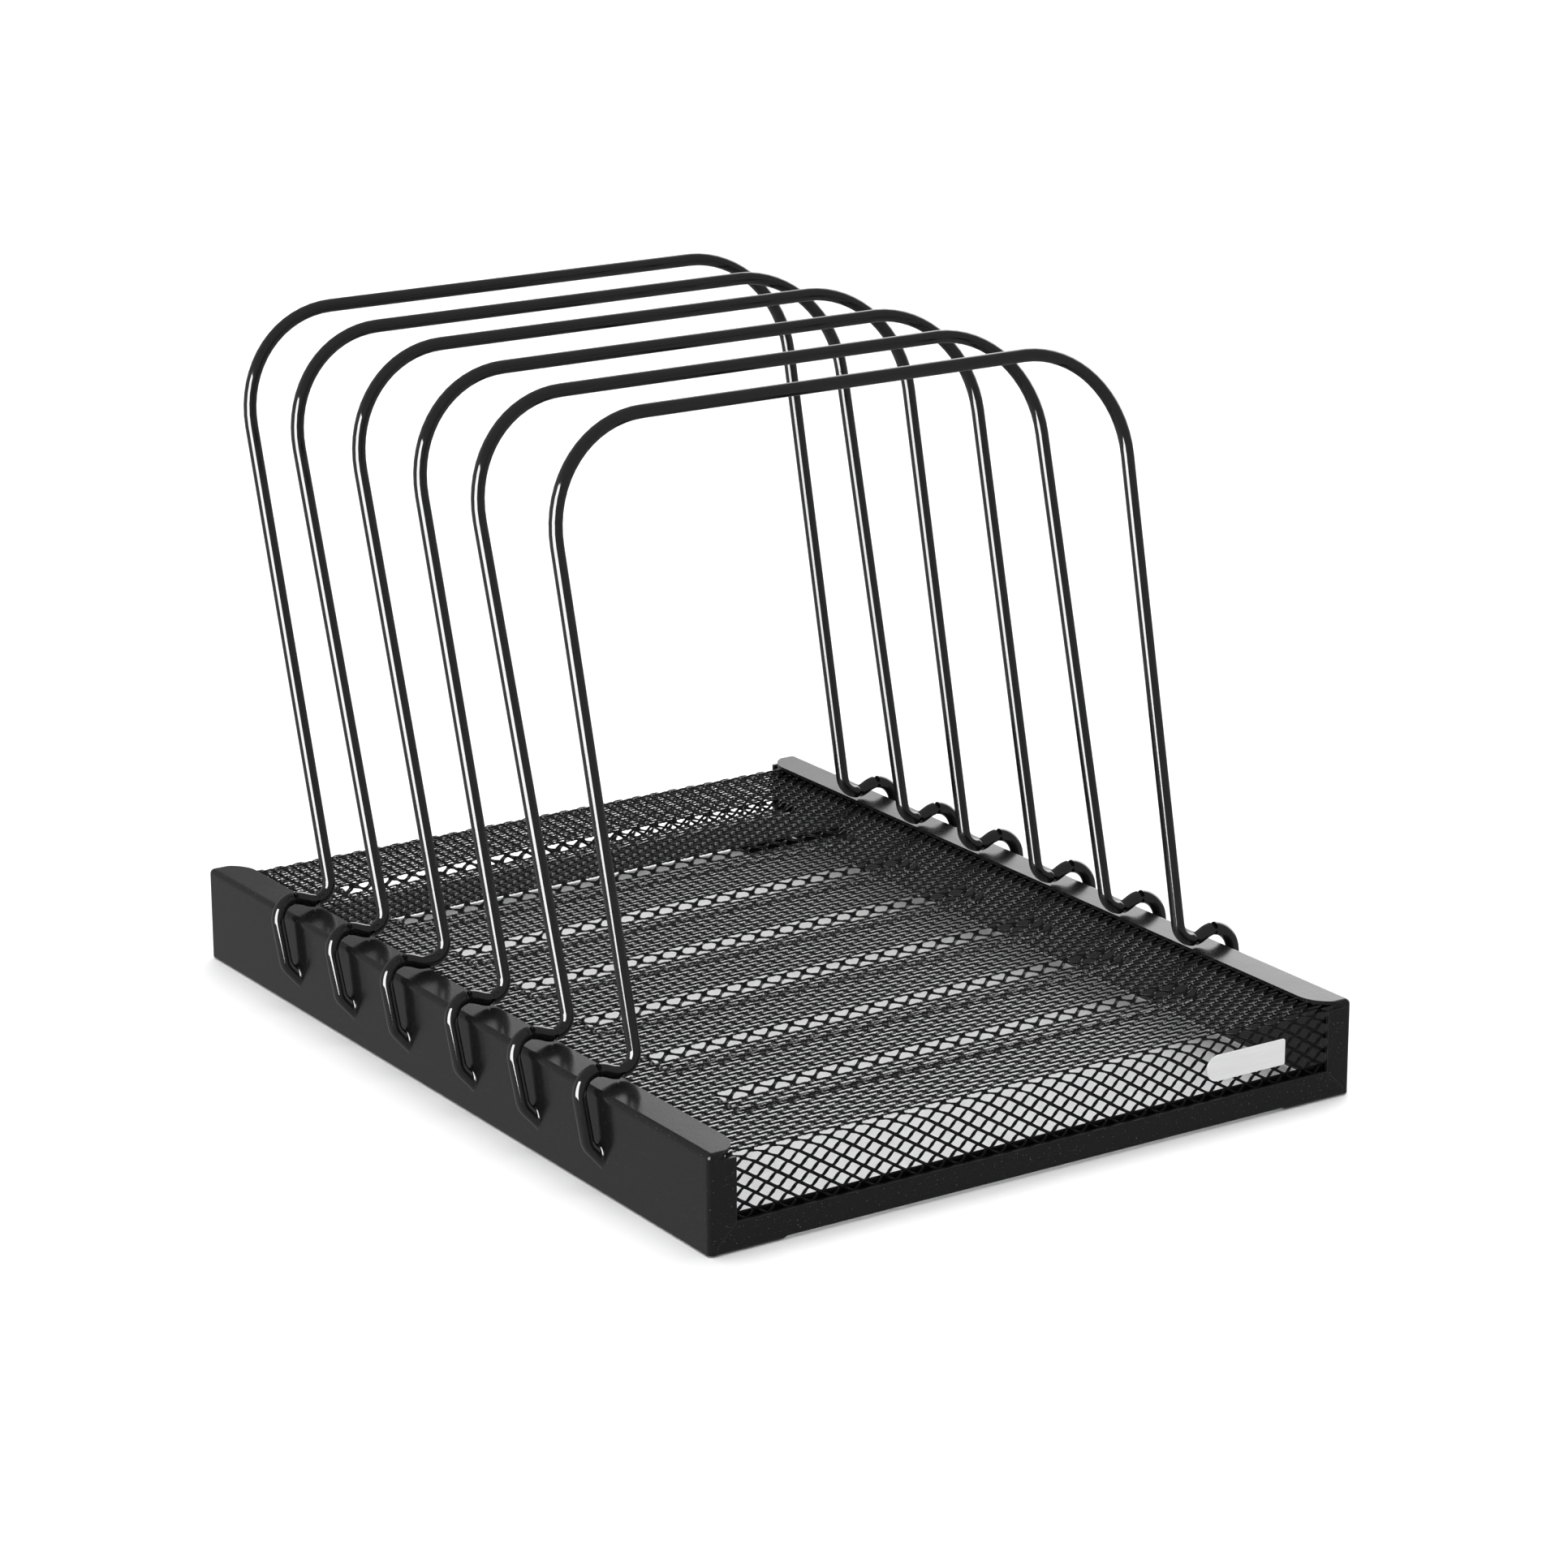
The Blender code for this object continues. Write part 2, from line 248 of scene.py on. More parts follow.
def edge_wear(tree, radius):
    """1 on sharp edges and 0 on flat sheet: how far a rounded normal leaves the true one."""
    rounded_normal = tree.nodes.new("ShaderNodeBevel")
    rounded_normal.samples = 4
    rounded_normal.inputs["Radius"].default_value = radius
    geometry = tree.nodes.new("ShaderNodeNewGeometry")
    dot = tree.nodes.new("ShaderNodeVectorMath")
    dot.operation = "DOT_PRODUCT"
    tree.links.new(rounded_normal.outputs["Normal"], dot.inputs[0])
    tree.links.new(geometry.outputs["Normal"], dot.inputs[1])
    return ramp(tree, dot.outputs["Value"], low=0.985, high=0.90)


def base_coat():
    """Satin black powder coat: fine orange peel, tiny pale specks, edges rubbed a little bare."""
    material, tree, shader, place = new_material("powder_coat", (0.008, 0.008, 0.0085), roughness=0.19)
    shader.inputs["Specular IOR Level"].default_value = 0.35
    grain = noise(tree, place, scale=1500, detail=3.0)
    peel = noise(tree, place, scale=420, detail=2.0)
    dust = noise(tree, place, scale=2600, detail=1.0)
    cloud = noise(tree, place, scale=70, detail=4.0)
    specks = ramp(tree, dust, low=0.735, high=0.77)
    worn = edge_wear(tree, radius=0.0005)
    coat = blend_colours(tree, grain, (0.006, 0.006, 0.0065), (0.010, 0.010, 0.0105))
    speckled = blend_colours(tree, specks, coat, (0.12, 0.12, 0.122))
    rubbed = blend_colours(tree, worn, speckled, (0.020, 0.020, 0.021))
    tree.links.new(rubbed, shader.inputs["Base Color"])
    rough = ramp(tree, cloud, low=0.3, high=0.7, start=0.15, end=0.22)
    tree.links.new(rough, shader.inputs["Roughness"])
    orange_peel = bump(tree, peel, distance=0.00008, strength=0.15)
    skin = bump(tree, grain, distance=0.00004, strength=0.35, under=orange_peel)
    tree.links.new(skin, shader.inputs["Normal"])
    return material


def mesh_coat():
    """The same black on the thin strands, where it ran smoother, with a fine grain left."""
    material, tree, shader, place = new_material("mesh_coat", (0.004, 0.004, 0.0045), roughness=0.10)
    shader.inputs["Specular IOR Level"].default_value = 0.25
    grain = noise(tree, place, scale=1400, detail=3.0)
    cloud = noise(tree, place, scale=240, detail=3.0)
    coat = blend_colours(tree, grain, (0.003, 0.003, 0.0035), (0.006, 0.006, 0.0065))
    tree.links.new(coat, shader.inputs["Base Color"])
    rough = ramp(tree, cloud, low=0.3, high=0.7, start=0.06, end=0.13)
    tree.links.new(rough, shader.inputs["Roughness"])
    skin = bump(tree, grain, distance=0.00004, strength=0.4)
    tree.links.new(skin, shader.inputs["Normal"])
    return material


def wire_coat():
    """Glossy black on drawn wire: fine dust in the coat, and slow waves in its skin and gloss."""
    material, tree, shader, place = new_material("wire_coat", (0.004, 0.004, 0.0045), roughness=0.07)
    shader.inputs["Specular IOR Level"].default_value = 0.9
    waves = noise(tree, place, scale=150, detail=3.0)
    dust = noise(tree, place, scale=1800, detail=2.0)
    coat = blend_colours(tree, dust, (0.003, 0.003, 0.0033), (0.006, 0.006, 0.0065))
    tree.links.new(coat, shader.inputs["Base Color"])
    rough = ramp(tree, waves, low=0.3, high=0.7, start=0.05, end=0.09)
    tree.links.new(rough, shader.inputs["Roughness"])
    wavy = bump(tree, waves, distance=0.00006, strength=0.25)
    skin = bump(tree, dust, distance=0.00002, strength=0.25, under=wavy)
    tree.links.new(skin, shader.inputs["Normal"])
    return material


def plate_metal():
    """Pale satin metal, brushed along its length, with an uneven gloss."""
    material, tree, shader, place = new_material(
        "plate_metal", (0.76, 0.76, 0.76), roughness=0.34, metallic=0.1
    )
    brushed = noise(tree, place, scale=900, detail=3.0, stretch=(0.06, 1.0, 1.0))
    mottle = noise(tree, place, scale=260, detail=2.0)
    tone = blend_colours(tree, brushed, (0.70, 0.70, 0.71), (0.80, 0.80, 0.80))
    tree.links.new(tone, shader.inputs["Base Color"])
    rough = ramp(tree, mottle, low=0.3, high=0.7, start=0.28, end=0.42)
    tree.links.new(rough, shader.inputs["Roughness"])
    skin = bump(tree, brushed, distance=0.00003, strength=0.3)
    tree.links.new(skin, shader.inputs["Normal"])
    return material


# ---------------------------------------------------------------- pieces and scratch shapes

def add_piece(name, mesh, material, node):
    """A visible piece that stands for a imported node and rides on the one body."""
    piece = bpy.data.objects.new(name, mesh)
    bpy.context.scene.collection.objects.link(piece)
    mesh.materials.clear()
    mesh.materials.append(material)
    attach(piece, "root")
    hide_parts(node)
    return piece


def scratch(mesh):
    """An object that carries a mesh while it is shaped; taken_mesh removes it."""
    obj = bpy.data.objects.new("scratch", mesh)
    bpy.context.scene.collection.objects.link(obj)
    return obj


def taken_mesh(obj, name):
    """The object's mesh with its modifiers applied; the object itself is removed."""
    bpy.context.view_layer.update()
    graph = bpy.context.evaluated_depsgraph_get()
    mesh = bpy.data.meshes.new_from_object(obj.evaluated_get(graph))
    mesh.name = name
    bpy.data.objects.remove(obj, do_unlink=True)
    return mesh


def arc(centre, radius, start, end, steps):
    """Points on an arc, with its angles in degrees."""
    return [
        (
            centre[0] + radius * math.cos(math.radians(start + (end - start) * i / steps)),
            centre[1] + radius * math.sin(math.radians(start + (end - start) * i / steps)),
        )
        for i in range(steps + 1)
    ]


def prism(outline, low, high, axis):
    """A scratch solid: an outline in XZ drawn out along Y, or one in XY drawn out along Z."""
    shape = bmesh.new()
    place = {"Y": lambda p, q: (p[0], q, p[1]), "Z": lambda p, q: (p[0], p[1], q)}[axis]
    base = shape.faces.new([shape.verts.new(place(point, low)) for point in outline])
    lifted = bmesh.ops.extrude_face_region(shape, geom=[base])["geom"]
    rise = Vector(place((0.0, 0.0), high - low))
    top = [item for item in lifted if isinstance(item, bmesh.types.BMVert)]
    bmesh.ops.translate(shape, verts=top, vec=rise)
    bmesh.ops.recalc_face_normals(shape, faces=shape.faces)
    mesh = bpy.data.meshes.new("prism")
    shape.to_mesh(mesh)
    shape.free()
    return scratch(mesh)


def mirrored(half):
    """An outline closed from its right half, which runs upwards."""
    return half + [(-x, y) for x, y in reversed(half)]


def welded_flush(point):
    """Whether a place is on the mitres where the posts and rails are welded and ground flush."""
    post = HALF_WIDTH - RETURN_WIDTH
    diagonal = abs(abs(point.x) + point.z - post - RAIL_HIGH.z)
    upright = abs(abs(point.x) - RAIL_HIGH.x)
    on_diagonal = diagonal < NEAR and point.z < RAIL_HIGH.z - NEAR
    return HALF_DEPTH - abs(point.y) < RAIL_BEND and (on_diagonal or upright < NEAR)


def softened(obj, name, width):
    """The object's mesh with its cut edges rounded and its flats shaded flat."""
    shape = bmesh.new()
    shape.from_mesh(obj.data)
    weight = shape.edges.layers.float.new("bevel_weight_edge")
    for edge in shape.edges:
        middle = (edge.verts[0].co + edge.verts[1].co) / 2
        sharp = edge.calc_face_angle(0.0) > CUT_ANGLE
        edge[weight] = 1.0 if sharp and not welded_flush(middle) else 0.0
    shape.to_mesh(obj.data)
    shape.free()
    rounding = obj.modifiers.new("cut_edges", "BEVEL")
    rounding.width = width
    rounding.segments = CUT_EDGE_STEPS
    rounding.limit_method = "WEIGHT"
    rounding.use_clamp_overlap = True
    rounding.miter_outer = "MITER_ARC"
    rounded_off = scratch(taken_mesh(obj, name))
    rounded_off.data.shade_smooth()
    rounded_off.data.set_sharp_from_angle(angle=SHEET_CREASE)
    normals = rounded_off.modifiers.new("normals", "WEIGHTED_NORMAL")
    normals.keep_sharp = True
    normals.weight = LARGE_FACES_LEAD
    return taken_mesh(rounded_off, name)


def pressed_sheet(name, low, high, open_sides, bend, cuts):
    """An open box with rounded folds, thickened inwards, cut to shape, its edges softened."""
    shape = bmesh.new()
    made = bmesh.ops.create_cube(shape, size=1.0)["verts"]
    for vert in made:
        vert.co = [a + (c + 0.5) * (b - a) for a, b, c in zip(low, high, vert.co)]
    shape.normal_update()
    gone = [
        face
        for face in shape.faces
        if any(face.normal.dot(Vector(way)) > SAME_WAY for way in open_sides)
    ]
    bmesh.ops.delete(shape, geom=gone, context="FACES")
    mesh = bpy.data.meshes.new(name)
    shape.to_mesh(mesh)
    shape.free()

    blank = scratch(mesh)
    folds = blank.modifiers.new("folds", "BEVEL")
    folds.width = bend
    folds.segments = BEND_STEPS
    folds.limit_method = "ANGLE"
    sheet = blank.modifiers.new("sheet", "SOLIDIFY")
    sheet.thickness = SHEET
    sheet.offset = -1.0
    sheet.use_even_offset = True
    for cutter, operation in cuts:
        cut = blank.modifiers.new("cut", "BOOLEAN")
        cut.operation = operation
        cut.solver = "EXACT"
        cut.object = cutter
    return softened(scratch(taken_mesh(blank, name)), name, CUT_EDGE)


# ---------------------------------------------------------------- the pressed base

def bay_cutter():
    """Trims the panels' returns to posts, with the mitres below them."""
    post = HALF_WIDTH - RETURN_WIDTH
    mitre = RAIL_HIGH.x
    lowest = post + RAIL_HIGH.z - mitre
    top = BASE_HEIGHT - RETURN_DROP
    half = [(mitre, -MARGIN), (mitre, lowest), (post, RAIL_HIGH.z), (post, top)]
    return prism(mirrored(half), -HALF_DEPTH - MARGIN, HALF_DEPTH + MARGIN, "Y")


def flange_cutter():
    """Trims the flanges' inner edges, which flare round to the base's corners."""
    side = PANEL_LOW.x
    centre = (side + FLANGE_CORNER, HALF_DEPTH - FLANGE_CORNER)
    corner = arc(centre, FLANGE_CORNER, 180, 90, CORNER_STEPS)
    corner.append((centre[0], HALF_DEPTH + MARGIN))
    right = [(x, -y) for x, y in reversed(corner)] + corner
    return prism(mirrored(right), BASE_HEIGHT - RETURN_DROP, BASE_HEIGHT + MARGIN, "Z")


def side_panels(material):
    """A wall, a flange and two posts each, folded from one sheet."""
    cuts = [(bay_cutter(), "DIFFERENCE"), (flange_cutter(), "DIFFERENCE")]
    for word, side in SIDES:
        inner, outer = sorted((side * (PANEL_LOW.x - MARGIN), side * HALF_WIDTH))
        low = (inner, -HALF_DEPTH, PANEL_LOW.z)
        high = (outer, HALF_DEPTH, BASE_HEIGHT)
        openings = [(0, 0, -1), (-side, 0, 0)]
        name = f"{word}_side_pressing"
        mesh = pressed_sheet(name, low, high, openings, PANEL_BEND, cuts)
        add_piece(name, mesh, material, f"{word}_side_panel")
    for cutter, _ in cuts:
        bpy.data.objects.remove(cutter, do_unlink=True)


def rail_outline():
    """The front view of an end rail: mitred ends and a step up between its two feet."""
    end = RAIL_HIGH.x
    slope = end - FOOT_LENGTH
    post = HALF_WIDTH - RETURN_WIDTH
    half = [
        (slope - FOOT_SLOPE, FOOT_STEP),
        (slope, 0.0),
        (end, 0.0),
        (end, post + RAIL_HIGH.z - end),
        (post, RAIL_HIGH.z),
    ]
    return prism(mirrored(half), -HALF_DEPTH - MARGIN, HALF_DEPTH + MARGIN, "Y")


def foot_gap():
    """The room behind the rails' upright strips, between the feet."""
    side = RAIL_HIGH.x - FOOT_LENGTH
    back = HALF_DEPTH - SHEET
    outline = [(-side, -back), (side, -back), (side, back), (-side, back)]
    return prism(outline, -MARGIN, SHEET + MARGIN, "Z")


def end_rails(material):
    """The upright strip at the front, with its two feet, and the same strip turned to the rear."""
    cuts = [(rail_outline(), "INTERSECT"), (foot_gap(), "DIFFERENCE")]
    low = (-HALF_WIDTH, -HALF_DEPTH, 0.0)
    high = (HALF_WIDTH, RAIL_HIGH.y, RAIL_HIGH.z + MARGIN)
    openings = [(0, 0, 1), (0, 1, 0), (1, 0, 0), (-1, 0, 0)]
    front = pressed_sheet("front_rail_strip", low, high, openings, RAIL_BEND, cuts)
    rear = front.copy()
    rear.transform(Matrix.Rotation(math.pi, 4, "Z"))
    add_piece("front_rail_strip", front, material, "front_rail")
    add_piece("rear_rail_strip", rear, material, "rear_rail")
    for cutter, _ in cuts:
        bpy.data.objects.remove(cutter, do_unlink=True)


# ---------------------------------------------------------------- the expanded-metal deck

def groove_fall(x, y):
    """How far the file grooves drop the deck at a place."""
    centres = GROOVE_FIRST + GROOVE_PITCH * np.arange(GROOVE_COUNT)
    away = np.abs(y[:, None] - centres).min(axis=1)
    slope = (GROOVE_WIDTH - GROOVE_FLOOR) / 2
    across = np.clip((GROOVE_WIDTH / 2 - away) / slope, 0.0, 1.0)
    run = np.clip((GROOVE_HALF_LENGTH + GROOVE_RUN_OUT - np.abs(x)) / GROOVE_RUN_OUT, 0.0, 1.0)
    soft = across * across * (3.0 - 2.0 * across)
    return GROOVE_DEPTH * soft * run * run * (3.0 - 2.0 * run)


def deck_route(s):
    """Where a length along the sheet lies: its y and z, and the outward normal's y and z.

    The sheet's middle is 0. Each half runs flat to a bend and then down the end face.
    """
    flat = DECK_HIGH.y - DECK_BEND
    past = np.abs(s) - flat
    turn = np.clip(past / DECK_BEND, 0.0, math.pi / 2)
    y = np.minimum(np.abs(s), flat) + DECK_BEND * np.sin(turn)
    down = np.maximum(past - DECK_BEND * math.pi / 2, 0.0)
    z = DECK_HIGH.z - DECK_BEND * (1 - np.cos(turn)) - down
    return y * np.sign(s), z, np.sin(turn) * np.sign(s), np.cos(turn)


def half_sheet_length():
    """From the deck's middle to the lower edge of an end face."""
    flat = DECK_HIGH.y - DECK_BEND
    return flat + DECK_BEND * math.pi / 2 + DECK_HIGH.z - DECK_BEND - DECK_LOW.z


def opening_outline(inset):
    """Points round one opening, a diamond with full sides and rounded corners."""
    turn = np.arange(OUTLINE_POINTS) * 2 * math.pi / OUTLINE_POINTS
    outline = []
    for way, reach in zip((np.cos(turn), np.sin(turn)), OPENING):
        way = np.where(np.abs(way) < NEAR, 0.0, way)
        outline.append((reach + inset) * np.sign(way) * np.abs(way) ** (2 / OPENING_ROUNDNESS))
    return np.column_stack(outline)


def cell_border():
    """The diamond cell's own border, in steps of a half pitch, a point to each outline point."""
    quarter = [(BORDER_STEPS - k, k) for k in range(BORDER_STEPS)]
    half = quarter + [(-y, x) for x, y in quarter]
    return np.array(half + [(-x, -y) for x, y in half])


def lattice_cells(start, end):
    """Whole diamond cells between two lengths along the sheet, clear of its long edges."""
    last = int((DECK_HIGH.x - HALF_PITCH_X) / HALF_PITCH_X)
    rows = range(math.ceil(start / HALF_PITCH_S), math.ceil(end / HALF_PITCH_S))
    return np.array([(i, j) for j in rows for i in range(-last, last + 1) if (i + j) % 2 == 0])


def on_sheet(points, depth):
    """Lays flat points (x, s) on the deck's route, this deep below its outer face.

    Stretching the sheet tilts its bonds, so it rises across every bond and falls along the
    strands between them: a wave with one period to each row of bonds.
    """
    x, s = points[:, 0], points[:, 1]
    depth = depth + BOND_TILT * (1 - np.sin(2 * math.pi * s / HALF_PITCH_S))
    y, z, normal_y, normal_z = deck_route(s)
    flat = normal_z > FLAT_SHEET
    fall = np.where(flat, groove_fall(x, y), 0.0)
    rise = groove_fall(x, y + SLOPE_STEP) - groove_fall(x, y - SLOPE_STEP)
    pitch = np.where(flat, rise / (2 * SLOPE_STEP), 0.0)
    length = np.sqrt(1.0 + pitch * pitch)
    normal_y = np.where(flat, pitch / length, normal_y)
    normal_z = np.where(flat, 1.0 / length, normal_z)
    return np.column_stack([x, y - depth * normal_y, z - fall - depth * normal_z])


def expanded_metal(name, start, end, seed):
    """A closed sheet of expanded metal between two lengths along the deck's route."""
    cells = lattice_cells(start, end)
    count = len(cells)
    rng = np.random.default_rng(seed)
    keys = (cells[:, None, :] * BORDER_STEPS + cell_border()).reshape(-1, 2)
    border, border_of = np.unique(keys, axis=0, return_inverse=True)
    border_of = border_of.reshape(count, OUTLINE_POINTS)
    border_points = border * (HALF_PITCH_X / BORDER_STEPS, HALF_PITCH_S / BORDER_STEPS)
    centres = cells * (HALF_PITCH_X, HALF_PITCH_S)
    uneven = rng.normal(0.0, STRAND_UNEVENNESS, (count, 1, 2))

    def ring(inset, depth):
        points = centres[:, None, :] + opening_outline(inset) + uneven
        return on_sheet(points.reshape(-1, 2), depth)

    layers = [
        on_sheet(border_points, 0.0),
        ring(STRAND_ROUNDING, 0.0),
        ring(0.0, MESH_THICKNESS / 2),
        ring(STRAND_ROUNDING, MESH_THICKNESS),
        on_sheet(border_points, MESH_THICKNESS),
    ]
    offsets = np.cumsum([0] + [len(layer) for layer in layers])
    own = np.arange(count * OUTLINE_POINTS).reshape(count, OUTLINE_POINTS)
    rings = [border_of, *(offset + own for offset in offsets[1:4]), offsets[4] + border_of]
    faces = ring_walls(rings) + [cut_walls(border_of, offsets[4])]

    mesh = bpy.data.meshes.new(name)
    mesh.from_pydata(np.vstack(layers), [], np.vstack(faces))
    mesh.update()
    mesh.shade_smooth()
    return mesh


def ring_walls(rings):
    """Quads between every cell's rings, from each ring to the next."""
    walls = []
    for upper, lower in zip(rings, rings[1:]):
        after, after_lower = np.roll(upper, -1, axis=1), np.roll(lower, -1, axis=1)
        walls.append(np.stack([upper, after, after_lower, lower], axis=-1).reshape(-1, 4))
    return walls


def cut_walls(border_of, lower_start):
    """Walls where the sheet ends: under each border edge that only one cell has."""
    edges = np.stack([border_of, np.roll(border_of, -1, axis=1)], axis=-1).reshape(-1, 2)
    _, first, uses = np.unique(np.sort(edges, axis=1), axis=0, return_index=True, return_counts=True)
    alone = edges[first[uses == 1]]
    upper = alone[:, ::-1]
    return np.column_stack([upper, alone + lower_start])


def edge_strips(material):
    """The sheet's solid lower edges, flat behind the mesh at each end."""
    outer = DECK_HIGH.y - MESH_THICKNESS - 2 * BOND_TILT
    inner = outer - EDGE_STRIP_THICKNESS
    top = RAIL_HIGH.z + EDGE_STRIP_RISE
    reach = DECK_HIGH.x - CUT_EDGE
    outline = [(-reach, DECK_LOW.z), (reach, DECK_LOW.z), (reach, top), (-reach, top)]
    for word, (low, high) in (("front", (-outer, -inner)), ("rear", (inner, outer))):
        name = f"mesh_edge_strip_{word}"
        blank = prism(outline, low, high, "Y")
        mesh = softened(blank, name, CUT_EDGE)
        add_piece(name, mesh, material, "mesh_deck")


def mesh_sheet(material):
    """The deck in four stretches, so that each stays a mesh of moderate size."""
    start = -half_sheet_length()
    ends = {**DECK_SPLITS, "rear": half_sheet_length()}
    for seed, (word, end) in enumerate(ends.items()):
        name = f"mesh_sheet_{word}"
        mesh = expanded_metal(name, start, end, seed)
        add_piece(name, mesh, material, "mesh_deck")
        start = end


# ---------------------------------------------------------------- the wire dividers

def rounded(corners, radii):
    """A polyline through the corners, with each inner one replaced by an arc of its radius."""
    path = [corners[0]]
    for before, corner, after, radius in zip(corners, corners[1:], corners[2:], radii):
        to_before = math.atan2(before[1] - corner[1], before[0] - corner[0])
        to_after = math.atan2(after[1] - corner[1], after[0] - corner[0])
        opening = (to_after - to_before + math.pi) % (2 * math.pi) - math.pi
        middle = to_before + opening / 2
        reach = radius / math.sin(abs(opening) / 2)
        centre = (corner[0] + reach * math.cos(middle), corner[1] + reach * math.sin(middle))
        turn = math.copysign(math.pi - abs(opening), -opening)
        start = middle + math.pi - turn / 2
        steps = max(2, math.ceil(abs(turn) / WIRE_ARC_STEP))
        path += arc(centre, radius, math.degrees(start), math.degrees(start + turn), steps)
    return path + [corners[-1]]


def divider_half(leg_foot):
    """The wire's centre line right of its middle, from its welded tip up to the top bar."""
    corners = [
        TIP,
        TIP_BEND,
        (HOOK_OUTSIDE, HOOK_CREST),
        (HOOK_OUTSIDE - CREST_LENGTH, HOOK_CREST),
        (HOOK_OUTSIDE - SEAT_START, HOOK_SEAT),
        (leg_foot, HOOK_SEAT),
        (SHOULDER, WIRE_RISE),
        (0.0, WIRE_RISE),
    ]
    return rounded(corners, (*WIRE_BENDS, SHOULDER_BEND))[:-1]


def flared(point, touch, swing, lump):
    """A point on the wire's skin, moved out by the weld's fillet where it is close to the wall."""
    fillet = WELD_FILLET * (WELD_POOL - WELD_POOL_LEAN * swing.x) * max(WELD_LEAST, lump)
    rise = max(0.0, fillet - max(0.0, point.x - HALF_WIDTH))
    flare = fillet - math.sqrt(max(0.0, fillet * fillet - rise * rise))
    spread = point - touch
    spread.x = 0.0
    return point + spread.normalized() * flare


def weld_rings(side, rng):
    """Rings from the wire's last straight stretch down to the wall, flared into a weld fillet.

    They run from the wall outwards, and each is the wire cut by a plane that turns from the
    wall's own to one square to the wire.
    """
    tip, knee = Vector((*TIP, 0.0)), Vector((*TIP_BEND, 0.0))
    along = (knee - tip).normalized()
    across = Vector((-along.y, along.x, 0.0))
    touch = tip + along * ((HALF_WIDTH - WELD_SINK - tip.x) / along.x)
    reach = (knee - touch).length - WELD_LENGTH_SPARED
    lumps = rng.normal(0.0, 1.0, WELD_LUMPS)
    rings = []
    for k in range(WELD_RINGS):
        share = (k / WELD_RINGS) ** WELD_CROWDING
        ring = []
        for i in range(WIRE_SIDES):
            angle = 2 * math.pi * i / WIRE_SIDES
            swing = across * math.cos(angle) + Vector((0, 0, 1)) * math.sin(angle)
            start = -swing.x * WIRE / 2 / along.x
            run = start + (reach - start) * share
            point = touch + swing * WIRE / 2 + along * run
            waves = sum(c * math.cos(n * angle + c) for n, c in enumerate(lumps, 1))
            point = flared(point, touch, swing, 1 + WELD_LUMPINESS * waves)
            ring.append((side * point.x, point.y, point.z))
        rings.append(ring)
    return rings


def wire_rings(path):
    """Round sections square to the path, which lies in the plane of its first two axes."""
    rings = []
    for i in range(1, len(path) - 1):
        before, here, after = (Vector((*p, 0.0)) for p in path[i - 1 : i + 2])
        along = ((here - before).normalized() + (after - here).normalized()).normalized()
        across = Vector((-along.y, along.x, 0.0))
        ring = []
        for k in range(WIRE_SIDES):
            angle = 2 * math.pi * k / WIRE_SIDES
            point = here + (across * math.cos(angle) + Vector((0, 0, 1)) * math.sin(angle)) * WIRE / 2
            ring.append(tuple(point))
        rings.append(ring)
    return rings


def divider_mesh(name, set_in, seed):
    """The whole wire, tip to tip, in its own plane: x across, y up along the lean, z square to it."""
    rng = np.random.default_rng(seed)
    right = divider_half(LEG_FOOT)
    left = [(-x, y) for x, y in divider_half(LEG_FOOT - set_in)]
    body = wire_rings(right + left[::-1])
    rings = weld_rings(1, rng) + body + weld_rings(-1, rng)[::-1]
    shape = bmesh.new()
    rows = [[shape.verts.new(point) for point in ring] for ring in rings]
    for row, following in zip(rows, rows[1:]):
        for i in range(WIRE_SIDES):
            j = (i + 1) % WIRE_SIDES
            shape.faces.new((row[i], row[j], following[j], following[i]))
    shape.faces.new(rows[0][::-1])
    shape.faces.new(rows[-1])
    bmesh.ops.recalc_face_normals(shape, faces=shape.faces)
    mesh = bpy.data.meshes.new(name)
    shape.to_mesh(mesh)
    shape.free()
    mesh.shade_smooth()
    mesh.set_sharp_from_angle(angle=WIRE_CREASE)
    return mesh


def leaning_plane(node):
    """Where a packed divider crosses the flanges' top, and how far it leans back."""
    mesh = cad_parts[node].data
    points = np.empty(len(mesh.vertices) * 3)
    mesh.vertices.foreach_get("co", points)
    upright = points.reshape(-1, 3)[:, 1:]
    middle = upright.mean(axis=0)
    _, axes = np.linalg.eigh(np.cov((upright - middle).T))
    slope = axes[0, 1] / axes[1, 1]
    return middle[0] - (middle[1] - BASE_HEIGHT) * slope, math.atan(slope)


def dividers(material):
    """The six wires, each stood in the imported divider's own leaning plane."""
    for number in range(1, DIVIDER_COUNT + 1):
        node = f"divider_{number}"
        seat, lean = leaning_plane(node)
        mesh = divider_mesh(f"wire_{number}", LEFT_FEET_SET_IN.get(number, 0.0), number)
        stand = Matrix.Rotation(math.pi / 2 - lean, 4, "X")
        mesh.transform(Matrix.Translation((0.0, seat, BASE_HEIGHT)) @ stand)
        add_piece(f"wire_{number}", mesh, material, node)


# ---------------------------------------------------------------- the nameplate

def nameplate(material):
    """The blank plate: a half-round left end, small corners at the right, softened edges."""
    half_height = (PLATE_HIGH.z - PLATE_LOW.z) / 2
    middle = (PLATE_HIGH.z + PLATE_LOW.z) / 2
    corner = PLATE_CORNER
    right = PLATE_HIGH.x - corner
    outline = arc((PLATE_LOW.x + half_height, middle), half_height, 90, 270, PLATE_END_STEPS)
    outline += arc((right, PLATE_LOW.z + corner), corner, -90, 0, PLATE_CORNER_STEPS)
    outline += arc((right, PLATE_HIGH.z - corner), corner, 0, 90, PLATE_CORNER_STEPS)
    blank = prism(outline, PLATE_LOW.y, PLATE_HIGH.y, "Y")
    mesh = softened(blank, "nameplate_blank", PLATE_EDGE)
    add_piece("nameplate_blank", mesh, material, "nameplate")


# ---------------------------------------------------------------- floor, light and camera

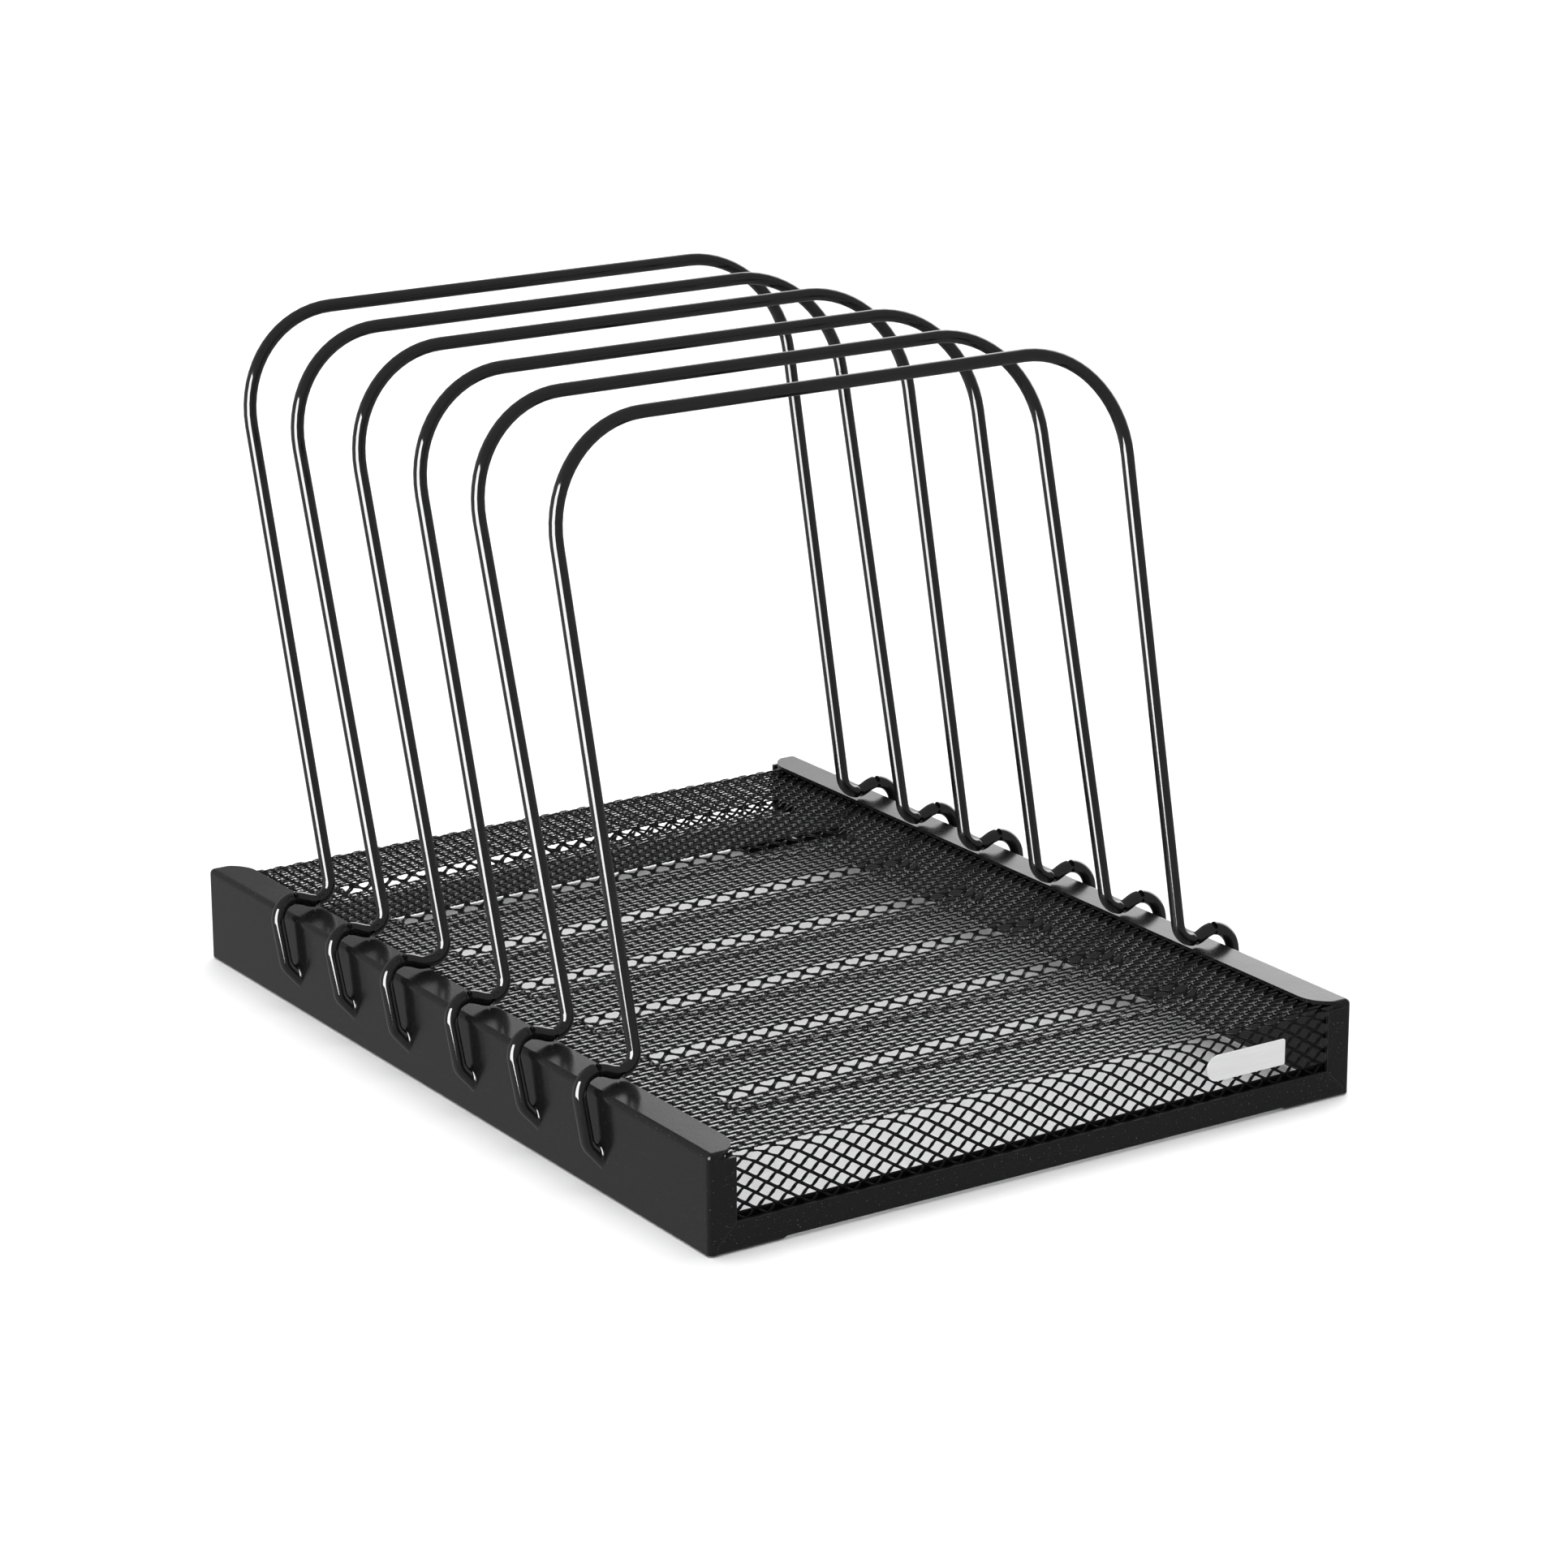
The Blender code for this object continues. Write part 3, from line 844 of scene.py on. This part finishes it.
def pale_floor():
    """A wide pale floor that doesn't show in reflections."""
    shape = bmesh.new()
    bmesh.ops.create_grid(shape, x_segments=1, y_segments=1, size=FLOOR_REACH)
    mesh = bpy.data.meshes.new("floor")
    shape.to_mesh(mesh)
    shape.free()
    floor = bpy.data.objects.new("floor", mesh)
    bpy.context.scene.collection.objects.link(floor)
    floor.visible_glossy = False
    material, tree, shader, place = new_material("pale_floor", (0.90, 0.90, 0.90), roughness=0.7)
    cloud = noise(tree, place, scale=3.0, detail=2.0)
    rough = ramp(tree, cloud, low=0.3, high=0.7, start=0.66, end=0.74)
    tree.links.new(rough, shader.inputs["Roughness"])
    mesh.materials.append(material)


def add_lamp(name, light, place, target):
    """A lamp at a place, shining towards a point."""
    lamp = bpy.data.objects.new(name, light)
    lamp.location = place
    lamp.rotation_euler = (Vector(target) - Vector(place)).to_track_quat("-Z", "Y").to_euler()
    bpy.context.scene.collection.objects.link(lamp)
    return lamp


def towards(tree, view, direction, edge, far, near):
    """A strength that goes from far to near as the view turns towards a direction."""
    facing = tree.nodes.new("ShaderNodeVectorMath")
    facing.operation = "DOT_PRODUCT"
    facing.inputs[1].default_value = Vector(direction).normalized()
    tree.links.new(view, facing.inputs[0])
    return ramp(tree, facing.outputs["Value"], *edge, far, near)


def combined(tree, operation, first, second):
    """Two values joined by a Math node's operation."""
    node = tree.nodes.new("ShaderNodeMath")
    node.operation = operation
    tree.links.new(first, node.inputs[0])
    tree.links.new(second, node.inputs[1])
    return node.outputs["Value"]


def studio_room():
    """A dim room with a lighter wall on the left and a bright cyclorama on the right behind."""
    world = bpy.data.worlds.new("studio")
    world.use_nodes = True
    tree = world.node_tree
    background = tree.nodes["Background"]
    background.inputs["Color"].default_value = (1.0, 1.0, 1.0, 1.0)
    view = tree.nodes.new("ShaderNodeTexCoord").outputs["Generated"]
    room = towards(tree, view, LEFT_WALL, LEFT_WALL_EDGE, ROOM_LIGHT, LEFT_WALL_LIGHT)
    cyclorama = towards(tree, view, CYCLORAMA, CYCLORAMA_EDGE, 0.0, CYCLORAMA_LIGHT)
    above_floor = towards(tree, view, (0.0, 0.0, 1.0), HORIZON, 0.0, 1.0)
    standing = combined(tree, "MULTIPLY", cyclorama, above_floor)
    tree.links.new(combined(tree, "ADD", room, standing), background.inputs["Strength"])
    bpy.context.scene.world = world


def studio_light():
    """The room, an overhead and a fill that show only as light, and one softbox as a gleam."""
    studio_room()
    bpy.context.scene.view_settings.view_transform = "Standard"
    for name, place, breadth, energy in (
        ("overhead", OVERHEAD_PLACE, OVERHEAD_BREADTH, OVERHEAD_LIGHT),
        ("fill", FILL_PLACE, FILL_BREADTH, FILL_LIGHT),
    ):
        light = bpy.data.lights.new(name, "SUN")
        light.energy = energy
        light.angle = math.radians(breadth)
        add_lamp(name, light, place, (0.0, 0.0, 0.0)).visible_glossy = False
    softbox = bpy.data.lights.new("tall_softbox", "AREA")
    softbox.shape = "RECTANGLE"
    softbox.size, softbox.size_y = SOFTBOX_SIZE
    softbox.energy = SOFTBOX_LIGHT
    gleam = add_lamp("tall_softbox", softbox, SOFTBOX_PLACE, (0.0, 0.0, SOFTBOX_PLACE[2]))
    gleam.visible_diffuse = False


def camera():
    """The photograph's viewpoint and framing."""
    data = bpy.data.cameras.new("camera")
    data.lens = CAMERA_LENS
    eye = bpy.data.objects.new("camera", data)
    turn = Matrix.Rotation(math.radians(CAMERA_TURN), 4, "Z")
    dip = Matrix.Rotation(math.radians(90 - CAMERA_DIP), 4, "X")
    roll = Matrix.Rotation(math.radians(CAMERA_ROLL), 4, "Z")
    eye.matrix_world = Matrix.Translation(CAMERA_PLACE) @ turn @ dip @ roll
    bpy.context.scene.collection.objects.link(eye)
    bpy.context.scene.camera = eye


def main():
    camera()
    studio_light()
    pale_floor()
    coat = base_coat()
    side_panels(coat)
    end_rails(coat)
    strand_coat = mesh_coat()
    mesh_sheet(strand_coat)
    edge_strips(strand_coat)
    dividers(wire_coat())
    nameplate(plate_metal())


main()
